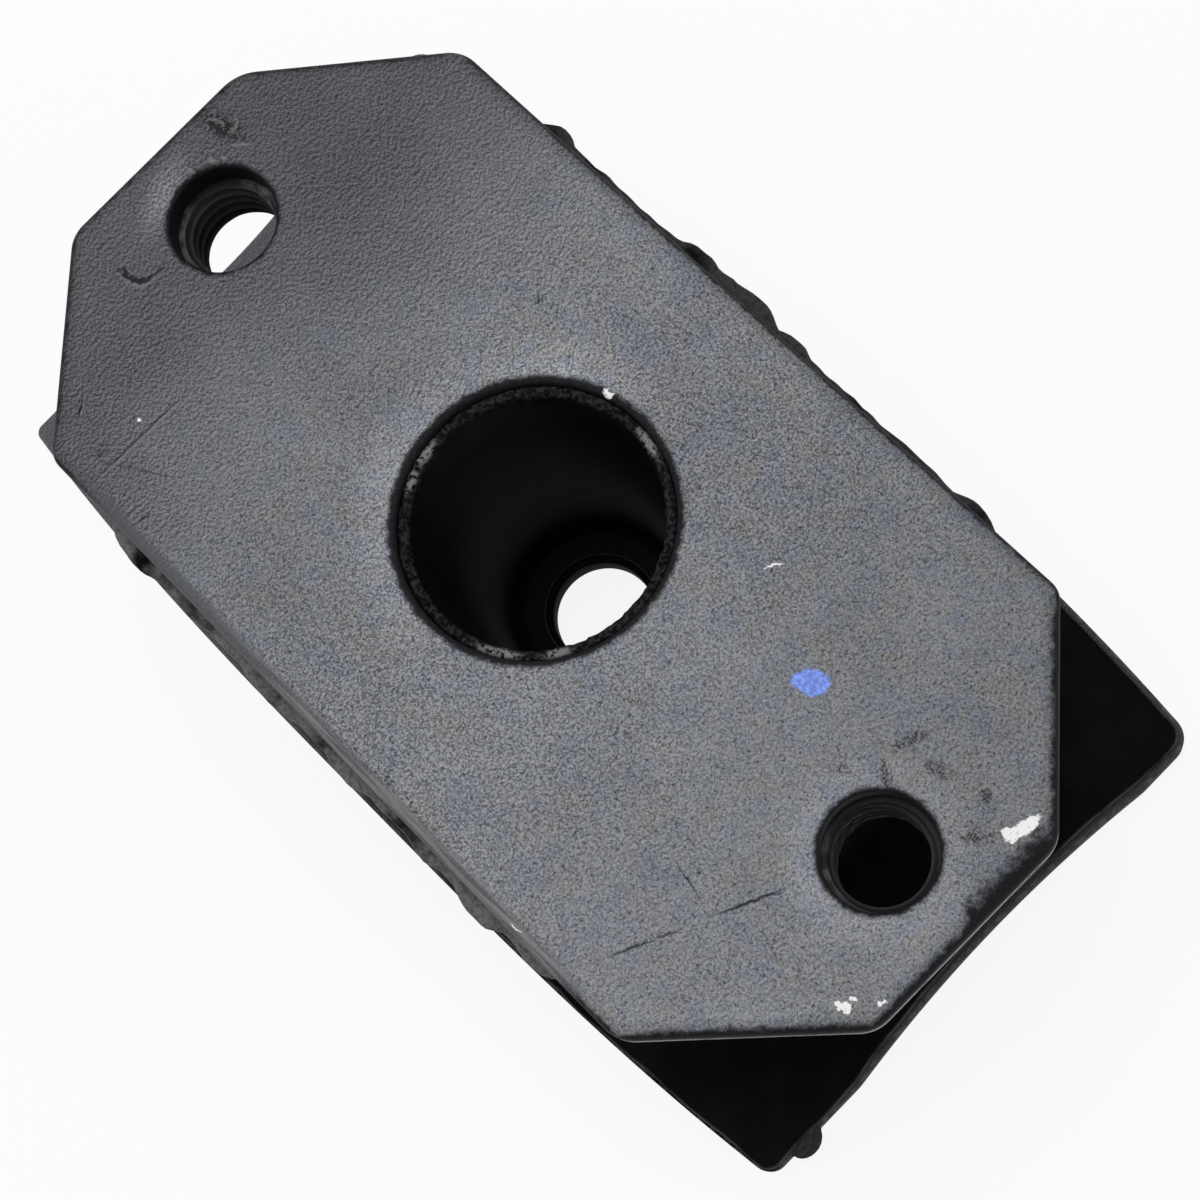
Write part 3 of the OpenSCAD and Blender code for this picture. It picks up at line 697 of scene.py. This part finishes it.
def top_coat(s):
    """Satin black coating of the top plate: grain, soot along the edges, chips, stains, scratches, paint, and
    painted light and shade.
    """
    mat, w, shader, p, (x, y, z) = finish("Top plate coating")
    g = grain(w, p, s.grain_size)
    ax, ay = w.math("ABSOLUTE", x), w.math("ABSOLUTE", y)
    # distances in mm: to the outline, and from the middles of the centre hole and the nearer bolt hole
    edge = outline_distance(w, ax, ay)
    r0 = w.times(w.length(x, y), 1000.0)
    rb = w.times(w.length(w.minus(ax, NUT_X * MM), y), 1000.0)
    rag = w.noise(p, 900.0, 4.0, 0.65)
    rough, fine = w.shaken(p, 1.3, 0.4)
    # coating: darker and peeled at the far end; dusty, speckled and lighter towards the near end, the
    # lightening partly a painted sheen
    dust_and_sheen = w.fade(w.plus(x, w.times(w.noise(p, 30.0, 3.0), 0.03)), -0.032, 0.016)
    by_dust_and_sheen = lambda far, near: w.fade(dust_and_sheen, 0.0, 1.0, far, near)
    dust = w.mix(w.times(g["Tint"], 0.5), s.dusty_sheen_colour, s.tint_colour)
    dust = w.mix(w.times(g["Warm"], 0.5), dust, s.warm_colour)
    colour = w.mix(dust_and_sheen, s.coat_colour, dust)
    tone = w.plus(w.times(w.minus(g["Painted relief shade"], 0.5), by_dust_and_sheen(1.05, 0.35)), 1.0)
    grit = w.times(w.minus(g["Grit"], 0.5), by_dust_and_sheen(0.35, 0.95), w.fade(x, 0.01, 0.04, 1.0, 0.62))
    tone = w.plus(tone, grit)
    tone = w.plus(tone, w.times(w.minus(g["Clouds"], 0.5), 0.16))
    # painted shade: darker towards the rounded edges; the far end and the +Y side darker, the -Y side lighter
    tone = w.times(tone, w.fade(x, -0.055, -0.022, 0.97, 1.14), w.fade(edge, 0.4, 2.2, 0.72, 1.0))
    tone = w.times(tone, w.fade(y, 0.012, -0.022, 0.95, 1.07))
    across = w.times(w.fade(x, 0.024, 0.044), w.fade(y, 0.004, -0.016, -0.05, 0.05))
    # painted highlights: at the centre hole's far side, beside the far hole, towards +Y, and a ring round the
    # near hole
    glow = w.times(w.fade(r0, 20.5, 15.4), w.fade(w.math("DIVIDE", w.times(x, 1000.0), r0), 0.4, -0.6), 0.36)
    glow = w.plus(glow, w.times(w.spot(fine, *GLOW), 0.95))
    glow = w.plus(glow, w.times(w.spot(p, *SHEEN), 0.35))
    glow = w.plus(glow, w.times(w.fade(rb, 10.5, 7.0), w.fade(x, 0.0, 0.02), 0.2))
    colour = w.shade(colour, w.times(tone, w.plus(across, 1.0), w.plus(glow, 1.0)))
    colour = w.mix(w.times(g["Specks"], by_dust_and_sheen(0.35, 0.62)), colour, s.soot_and_shade_colour)
    # the near part of the -Y edge is rubbed pale, with lines along it
    lines = w.noise(w("Mapping", {"Vector": p, "Scale": (0.04, 1.0, 1.0)}).outputs[0], 2600.0, 2.0)
    bare = w.times(w.fade(y, (1.7 - HALF_WID) * MM, (0.9 - HALF_WID) * MM), w.fade(x, -0.042, -0.03),
                   w.fade(x, 0.038, 0.031))
    pale = w.mix(w.times(w.fade(lines, 0.4, 0.6), w.fade(x, -0.02, 0.0)), s.coat_colour, s.worn_and_glint_colour)
    colour = w.mix(w.times(bare, 0.8), colour, pale)
    # soot: a ragged line all round, wide at the near end and the cut corner beside it; on the hole lips, soot
    # and painted shade
    near = w.times(w.fade(x, 0.05, 0.054), w.fade(y, 0.0, 0.003), w.fade(y, 0.013, 0.011))
    wide = w.plus(near, w.fade(ay, 0.0272, 0.0284, 0.52, 0.34))
    soot = w.fade(w.plus(w.math("DIVIDE", edge, wide), w.times(rag, 2.6)), 3.4, 2.0)
    soot = w.times(soot, w.fade(bare, 0.0, 1.0, 1.0, 0.1))
    lip_soot_and_shade = w.plus(w.math("MINIMUM", w.minus(r0, CENTRE_R + 1.15), w.minus(rb, BOLT_R + 0.85)), rag)
    colour = w.mix(w.times(w.most(soot, w.fade(lip_soot_and_shade, 0.45, -0.2)), 0.96), colour, s.soot_and_shade_colour)
    # thin light line round the side, below the rounded edge: wear, with a painted reflection of the bright
    # surroundings
    worn_and_lit_line = w.times(w.fade(z, (PLATE_TOP - 1.5) * MM, (PLATE_TOP - 2.0) * MM),
                   w.fade(z, (PLATE_TOP - 2.6) * MM, (PLATE_TOP - 2.3) * MM), w.fade(rag, 0.3, 0.5),
                   w.fade(x, 0.02, 0.045, 0.3, 1.0), w.fade(edge, 0.6, 0.2))
    colour = w.mix(worn_and_lit_line, colour, w.mix(0.25, s.worn_and_glint_colour, s.chip_colour))
    # dark stains round the near hole and small pits
    stains = w.times(w.spots(rough, STAINS), w.fade(rag, 0.4, 0.52), w.fade(g["Grit"], 0.0, 1.0, 0.8, 0.3))
    colour = w.mix(stains, colour, s.soot_and_shade_colour)
    # scratches and the scar, and the raised blister and lumps beside the far hole, with painted shade and
    # highlights on their rims
    dark = dark_scratches(w, p, fine, rag)
    shaded_blister_side = w.times(w.bow(rough, *BLISTER_SHADED_SIDE), w.fade(rag, 0.3, 0.5))
    scar = w.times(w.spot(rough, *SCAR), w.fade(w.noise(p, 1500.0, 3.0, 0.7), 0.44, 0.54))
    lumps = w.most(w.spots(fine, LUMPS), w.times(w.spots(rough, SWELLINGS), rag))
    colour = w.mix(w.times(w.most(dark, shaded_blister_side, scar), 0.85), colour, s.soot_and_shade_colour)
    colour = w.mix(w.times(glints_and_pale_scratches(w, p, fine, rough), 0.55), colour, s.worn_and_glint_colour)
    # chips down to pale metal, and a dab of blue paint
    chips = w.spots(rough, CHIPS)
    colour = w.mix(w.times(chips, w.fade(g["Specks"], 0.2, 0.8, 1.0, 0.55)), colour, s.chip_colour)
    dab = w.spot(rough, *DAB)
    blotch = w.fade(w.noise(p, 2600.0, 3.0, 0.6), 0.42, 0.62)
    paint = w.mix(blotch, dimmed(s.paint_colour, 0.62), s.paint_colour)
    w.tree.links.new(w.mix(w.times(dab, 0.96), colour, paint), shader.inputs["Base Color"])
    dull = w.plus(w.times(dust_and_sheen, 0.07), w.times(w.most(chips, dab), 0.2))
    w.tree.links.new(w.plus(dull, 0.43), shader.inputs["Roughness"])
    shader.inputs["Specular IOR Level"].default_value = 0.05
    height = w.plus(w.times(g["Height"], by_dust_and_sheen(1.0, 0.65)), w.times(w.most(shaded_blister_side, lumps), 2.2))
    height = w.minus(height, w.times(w.most(chips, dark, scar), 0.6))
    bump(w, shader, w.plus(height, w.times(dab, 0.35)), 1.0, s.grain_depth)
    return mat


def lower_coat(s):
    """Coating of the lower plate: the same grain, darker towards the near end by painted shade and dirt,
    painted shade black in the bolt hole, and a painted highlight along the top edge.
    """
    mat, w, shader, p, (x, y, z) = finish("Lower plate coating")
    g = grain(w, p, s.grain_size)
    # painted shade with dirt: a lit copy of the coating at the far end, a darker one towards the near end
    # under the top plate
    base = w.mix(w.fade(x, -0.045, 0.0), dimmed(s.coat_colour, 1.2), dimmed(s.coat_colour, 0.55))
    base = w.mix(w.times(w.fade(x, -0.01, 0.03), w.fade(y, -0.028, -0.03)), base, s.soot_and_shade_colour)
    # painted light and shade of the peel, and grit
    base = w.shade(base, w.plus(w.times(g["Painted relief shade"], 0.4), w.plus(w.times(g["Grit"], 0.4), 0.6)))
    # painted highlight with dust: a light line on the rounded top edge
    rim = w.times(w.fade(z, (LOWER_TOP - 0.9) * MM, (LOWER_TOP - 0.4) * MM),
                  w.fade(z, (LOWER_TOP - 0.01) * MM, (LOWER_TOP - 0.1) * MM),
                  w.fade(w.noise(p, 700.0, 4.0, 0.6), 0.45, 0.6))
    base = w.mix(w.times(rim, 0.25), base, s.worn_and_glint_colour)
    # painted shade: black in the bolt hole
    base = w.mix(w.fade(w.length(x, y), 0.009, 0.008), base, s.soot_and_shade_colour)
    w.tree.links.new(base, shader.inputs["Base Color"])
    shader.inputs["Roughness"].default_value = 0.6
    shader.inputs["Specular IOR Level"].default_value = 0.01
    bump(w, shader, g["Height"], 1.0, s.grain_depth)
    return mat


def nut_steel(s):
    """Dark oxidised steel of the nuts, with painted highlights on the thread crests and the lead-in at the
    top.
    """
    mat, w, shader, p, (x, y, z) = finish("Dark nut steel")
    g = grain(w, p, s.grain_size * 0.6)
    off = w.minus(w.math("ABSOLUTE", x), NUT_X * MM)
    r = w.length(off, y)
    base = w.mix(g["Grit"], dimmed(s.nut_colour, 0.7), dimmed(s.nut_colour, 1.3))
    # painted highlights on the lead-in, to the -X -Y side of both holes and to the +Y side of the far one
    low = w.math("DIVIDE", w.plus(w.times(off, w.fade(x, -0.01, 0.01, 0.6, -0.6)), w.times(y, -0.8)), r)
    high = w.times(w.fade(w.math("DIVIDE", y, r), 0.75, 0.95), w.fade(x, 0.01, -0.01))
    lead_in_glint = w.times(w.fade(z, (PLATE_LOW - 1.0) * MM, (PLATE_LOW - 0.7) * MM),
                   w.most(w.fade(low, 0.7, 0.95), high), 0.42, w.fade(w.noise(p, 700.0, 3.0), 0.35, 0.6))
    base = w.mix(w.most(w.times(w.fade(r, 0.0051, 0.00475), 0.15), lead_in_glint), base, s.worn_and_glint_colour)
    w.tree.links.new(base, shader.inputs["Base Color"])
    shader.inputs["Roughness"].default_value = 0.4
    shader.inputs["Specular IOR Level"].default_value = 0.1
    bump(w, shader, g["Height"], 1.0, s.grain_depth * 0.3)
    return mat


def rim_glint(w, p, angle, length):
    """Spot along the middle of the lining's rim, at an angle in degrees."""
    x, y = (CENTRE_R + LINING_R) / 2 * np.array([np.cos(radians(angle)), np.sin(radians(angle))])
    return w.spot(p, x, y, length, 0.45, angle + 90, 0.5)


def moulded_rubber(s):
    """Black moulded rubber: deep black, scuffed grey on the lining's rim with painted highlights there, and a
    painted highlight along the skin's edge.
    """
    mat, w, shader, p, (x, y, z) = finish("Moulded rubber")
    r = w.length(x, y)
    band = lambda value, start, end: w.fade(value, start * MM, end * MM)
    rag = w.noise(p, 1900.0, 4.0, 0.7)
    smear = w.noise(p, 160.0, 3.0, 0.6)
    rim = w.times(band(z, PLATE_TOP - 1.9, PLATE_TOP - 1.0), band(r, CENTRE_R + 1.1, CENTRE_R + 0.5))
    base = w.mix(w.fade(smear, 0.35, 0.7), dimmed(s.rubber_colour, 0.7), dimmed(s.rubber_colour, 1.5))
    scuffed = w.times(rim, band(r, CENTRE_R - 0.05, CENTRE_R - 0.3), w.fade(rag, 0.42, 0.62), 0.55)
    base = w.mix(scuffed, base, s.scuff_and_highlight_colour)
    # painted highlights on scuffs of the lining's rim
    rim_glints = w.most(*(rim_glint(w, p, angle, length) for angle, length in SCUFF_GLINTS))
    base = w.mix(w.times(rim_glints, rim, w.fade(rag, 0.4, 0.55)), base, s.worn_and_glint_colour)
    # painted highlight along the skin's outer edge, grey tag, and grey flash under the top plate's long edges
    skin_edge_highlight = w.times(band(z, LOWER_TOP + 0.25, LOWER_TOP + 0.5), band(z, LOWER_TOP + 0.99, LOWER_TOP + 0.9),
                   band(r, 20.0, 22.0), w.fade(smear, 0.35, 0.6), 0.9)
    tag = w.times(w.spot(p, TAG[0] + 0.7, TAG[1] + 0.2, 2.2, 2.6), band(z, LOWER_TOP + 0.8, LOWER_TOP + 0.5),
                  w.fade(rag, 0.35, 0.6, 0.5, 0.75))
    base = w.mix(w.most(skin_edge_highlight, tag), base, s.scuff_and_highlight_colour)
    flash = w.times(band(z, PLATE_LOW - 1.6, PLATE_LOW - 1.1),
                    band(w.math("ABSOLUTE", y), HALF_WID - 1.2, HALF_WID - 0.6), w.fade(smear, 0.3, 0.5),
                    w.fade(rag, 0.35, 0.6, 0.4, 0.8))
    base = w.mix(flash, base, w.mix(w.fade(y, 0.01, -0.01), s.scuff_and_highlight_colour, s.flash_colour))
    w.tree.links.new(base, shader.inputs["Base Color"])
    shader.inputs["Roughness"].default_value = 0.45
    shader.inputs["Specular IOR Level"].default_value = 0.015
    bump(w, shader, w.plus(w.times(w.noise(p, 420.0, 3.0), 0.5), w.times(rim, rag, 2.0)), 1.0, 0.00009)
    return mat


# Settings, operators and panel

def colour_prop(name, about, value):
    return FloatVectorProperty(name=name, description=about, default=value, min=0, max=1, subtype="COLOR")


def length_prop(name, about, value):
    return FloatProperty(name=name, description=about, default=value, min=0, unit="LENGTH", precision=6)


class MountShapes(bpy.types.PropertyGroup):
    """Sizes of the fine forms that the solids leave plain."""
    thread_pitch: length_prop("Thread pitch", "Rise of the nut thread in one turn", 0.001814)
    thread_crest: length_prop("Crest diameter", "Diameter at the thread crests", 0.00936)
    thread_root: length_prop("Root diameter", "Diameter at the thread roots", 0.0111)
    flash_reach: length_prop("Flash reach", "Scale of the rubber lumps past the long edges", 0.001)
    burr_height: length_prop("Burr height", "Unevenness of the lining's rim", 0.00011)


class MountLooks(bpy.types.PropertyGroup):
    """Colours and grain of the finishes."""
    coat_colour: colour_prop("Coating", "Satin black coating", (0.085, 0.087, 0.095))
    # colour of the dusty coating, lighter than the clean one partly as a painted sheen
    dusty_sheen_colour: colour_prop("Dusty coating and painted sheen", "Coating under dust near the near end", (0.166, 0.171, 0.182))
    tint_colour: colour_prop("Blue tint", "Blue cast in the dusty coating", (0.12, 0.134, 0.178))
    warm_colour: colour_prop("Warm tint", "Brownish cast in the dusty coating", (0.172, 0.166, 0.156))
    # black of soot, also used for painted shade on the hole lips, the blister and in the lower bolt hole
    soot_and_shade_colour: colour_prop("Soot and painted shade", "Black along edges and in stains", (0.004, 0.004, 0.005))
    # grey of rubbed coating, also used for painted highlights and glints
    worn_and_glint_colour: colour_prop("Worn edge and painted glints", "Grey where the coating is rubbed", (0.2, 0.2, 0.2))
    chip_colour: colour_prop("Chips", "Bare pale metal", (0.82, 0.82, 0.8))
    paint_colour: colour_prop("Paint dab", "Blue paint dab", (0.24, 0.36, 0.95))
    nut_colour: colour_prop("Nut", "Oxidised steel", (0.012, 0.0118, 0.0135))
    rubber_colour: colour_prop("Rubber", "Moulded black rubber", (0.0032, 0.0032, 0.0034))
    # grey of scuffed rubber, also used for the painted highlight along the skin's edge
    scuff_and_highlight_colour: colour_prop("Scuffed rubber and painted highlight", "Grey on the rim of the lining", (0.05, 0.051, 0.055))
    flash_colour: colour_prop("Dusty flash", "Flash under the top plate's -Y edge", (0.17, 0.168, 0.17))
    grain_size: length_prop("Grain size", "Spacing of the coating's grain", 0.00044)
    grain_depth: length_prop("Grain depth", "Height of the coating's grain", 0.0001)


class MOUNT_OT_top_plate(bpy.types.Operator):
    """Builds the octagonal top plate with its rounded edges and three holes"""
    bl_idname = "mount.top_plate"
    bl_label = "Top plate"

    def execute(self, context):
        ring = lambda d: rounded(octagon(), CORNER_R, d, edge=0)[0]
        holes = [(0, 0, CENTRE_R, CENTRE_LIP), (-NUT_X, 0, BOLT_R, BOLT_LIP), (NUT_X, 0, BOLT_R, BOLT_LIP)]
        parts = plate_parts(ring, PLATE_LOW, PLATE_TOP, EDGE_R, holes)
        piece("plate_top", parts, top_coat(context.scene.mount_looks), ["top_plate"])
        return {"FINISHED"}


class MOUNT_OT_nuts(bpy.types.Operator):
    """Builds both hexagonal nuts with their screw threads"""
    bl_idname = "mount.nuts"
    bl_label = "Nuts"

    def execute(self, context):
        shapes, steel = context.scene.mount_shapes, nut_steel(context.scene.mount_looks)
        for name, x in (("far_nut", -NUT_X), ("near_nut", NUT_X)):
            piece("threaded_" + name, nut_parts(x, shapes), steel, [name], 30)
        return {"FINISHED"}


class MOUNT_OT_rubber(bpy.types.Operator):
    """Builds the moulded rubber body with its well, skin, lining and flash"""
    bl_idname = "mount.rubber"
    bl_label = "Rubber body"

    def execute(self, context):
        parts = [*rubber_parts(context.scene.mount_shapes), lump(TAG, TAG_SIZE, 4)]
        black = moulded_rubber(context.scene.mount_looks)
        piece("moulded_rubber", parts, black, ["rubber_body"], 50)
        return {"FINISHED"}


class MOUNT_OT_lower_plate(bpy.types.Operator):
    """Builds the bowed lower plate with its shallow end reliefs and bolt hole"""
    bl_idname = "mount.lower_plate"
    bl_label = "Lower plate"

    def execute(self, context):
        base = lower_outline()
        way = outward(base)
        holes = [(0, 0, LOWER_HOLE_R, LOWER_HOLE_LIP)]
        parts = plate_parts(lambda d: base - way * d, 0.0, LOWER_TOP, LOWER_EDGE_R, holes)
        piece("plate_lower", parts, lower_coat(context.scene.mount_looks), ["lower_plate"])
        return {"FINISHED"}


def pale_floor():
    """Floor material: plain pale, and white to rays that see it plainly."""
    mat = bpy.data.materials.new("Pale floor")
    mat.use_nodes = True
    w = Web(mat.node_tree)
    shader = mat.node_tree.nodes["Principled BSDF"]
    shader.inputs["Base Color"].default_value = (0.8, 0.8, 0.8, 1)
    shader.inputs["Roughness"].default_value = 0.8
    glow = w("Emission", {0: (1, 1, 1, 1), 1: 1.0})
    share = w.times(w.seen_plainly(), FLOOR_GLOW)
    blend = w("MixShader", {0: share, 1: shader.outputs[0], 2: glow.outputs[0]})
    w.tree.links.new(blend.outputs[0], mat.node_tree.nodes["Material Output"].inputs[0])
    return mat


def pale_surroundings():
    """World: a dim white light, and full white to rays that see it plainly."""
    world = bpy.data.worlds.new("Pale surroundings")
    world.use_nodes = True
    w = Web(world.node_tree)
    back = world.node_tree.nodes["Background"]
    back.inputs["Color"].default_value = (1, 1, 1, 1)
    w.tree.links.new(w.fade(w.seen_plainly(), 0.0, 1.0, WORLD_LIGHT, 1.0), back.inputs["Strength"])
    return world


def softbox(name, place, aim, size, power):
    """Square area lamp at place, turned towards aim."""
    lamp = bpy.data.lights.new(name, "AREA")
    lamp.size, lamp.energy = size, power
    obj = bpy.data.objects.new(name, lamp)
    obj.location = place
    obj.rotation_euler = (Vector(aim) - Vector(place)).to_track_quat("-Z", "Y").to_euler()
    bpy.context.scene.collection.objects.link(obj)


class MOUNT_OT_stage(bpy.types.Operator):
    """Sets the floor, soft lamps, pale surroundings and the camera"""
    bl_idname = "mount.stage"
    bl_label = "Stage"

    def execute(self, context):
        scene = context.scene
        mesh = bpy.data.meshes.new("floor")
        square = np.array([(-1, -1), (1, -1), (1, 1), (-1, 1)]) * FLOOR_HALF
        mesh.from_pydata(at(square, -FLOOR_DROP).tolist(), [], [(0, 1, 2, 3)])
        floor = bpy.data.objects.new("floor", mesh)
        scene.collection.objects.link(floor)
        mesh.materials.append(pale_floor())
        floor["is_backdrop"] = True
        scene.world = pale_surroundings()
        for lamp in LAMPS:
            softbox(*lamp)
        cam = bpy.data.cameras.new("camera")
        cam.sensor_width, cam.lens, cam.clip_start = SENSOR, LENS, 0.01
        cam.dof.use_dof = False
        eye = bpy.data.objects.new("camera", cam)
        eye.matrix_world = CAMERA
        scene.collection.objects.link(eye)
        scene.camera = eye
        scene.view_settings.view_transform = "Standard"
        return {"FINISHED"}


PIECES = (MOUNT_OT_top_plate, MOUNT_OT_nuts, MOUNT_OT_rubber, MOUNT_OT_lower_plate, MOUNT_OT_stage)


class MOUNT_PT_panel(bpy.types.Panel):
    """Lists the steps that build the mount"""
    bl_label = "Transmission mount"
    bl_idname = "MOUNT_PT_panel"
    bl_space_type = "VIEW_3D"
    bl_region_type = "UI"
    bl_category = "Mount"

    def draw(self, context):
        for group in (context.scene.mount_shapes, context.scene.mount_looks):
            for key in group.__annotations__:
                self.layout.prop(group, key)
        for step in PIECES:
            self.layout.operator(step.bl_idname)


CLASSES = (MountShapes, MountLooks, *PIECES, MOUNT_PT_panel)


def register():
    for cls in CLASSES:
        bpy.utils.register_class(cls)
    bpy.types.Scene.mount_shapes = PointerProperty(type=MountShapes)
    bpy.types.Scene.mount_looks = PointerProperty(type=MountLooks)


def unregister():
    del bpy.types.Scene.mount_looks
    del bpy.types.Scene.mount_shapes
    for cls in reversed(CLASSES):
        bpy.utils.unregister_class(cls)


def main():
    register()
    bpy.ops.mount.top_plate()
    bpy.ops.mount.nuts()
    bpy.ops.mount.rubber()
    bpy.ops.mount.lower_plate()
    bpy.ops.mount.stage()
    plain = lambda box: [[float(v) for v in corner] for corner in box]
    {"cad": plain(CAD_BOX), "visual": plain(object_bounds())}


if __name__ == "__main__":
    main()
